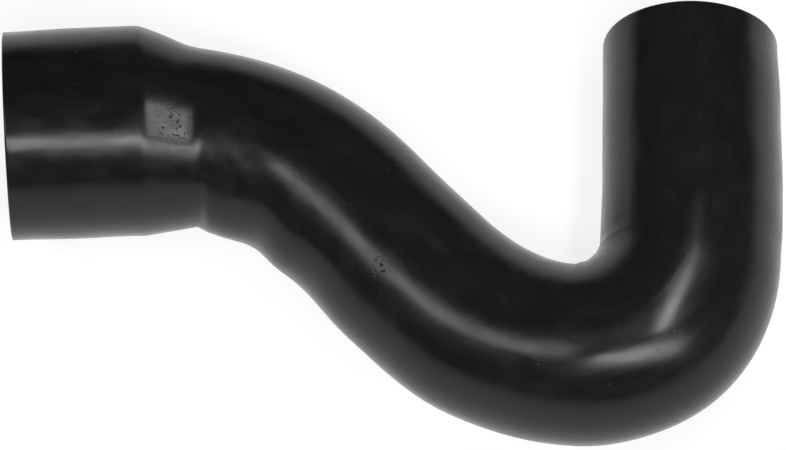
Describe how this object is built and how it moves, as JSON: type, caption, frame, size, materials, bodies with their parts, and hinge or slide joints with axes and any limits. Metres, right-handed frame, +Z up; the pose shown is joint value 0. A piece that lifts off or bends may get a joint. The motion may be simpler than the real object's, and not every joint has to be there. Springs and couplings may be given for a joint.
{
  "type": "moulded radiator hose",
  "caption": "Moulded black rubber coolant hose: wide straight end, short reducer, long S-bend and a tight last bend into the narrow end.",
  "frame": {"origin": "on the surface the hose lies on, under the middle of its bounding box", "axes": "+Z up, +X along the large end's axis from its mouth into the hose, seen from above, and +Y towards the side that the small end opens to"},
  "size_m": [0.2, 0.1202, 0.0564],
  "materials": {
    "rubber": "semi-gloss moulded black rubber"
  },
  "bodies": {
    "root": {"hose": "rubber"}
  },
  "joints": []
}
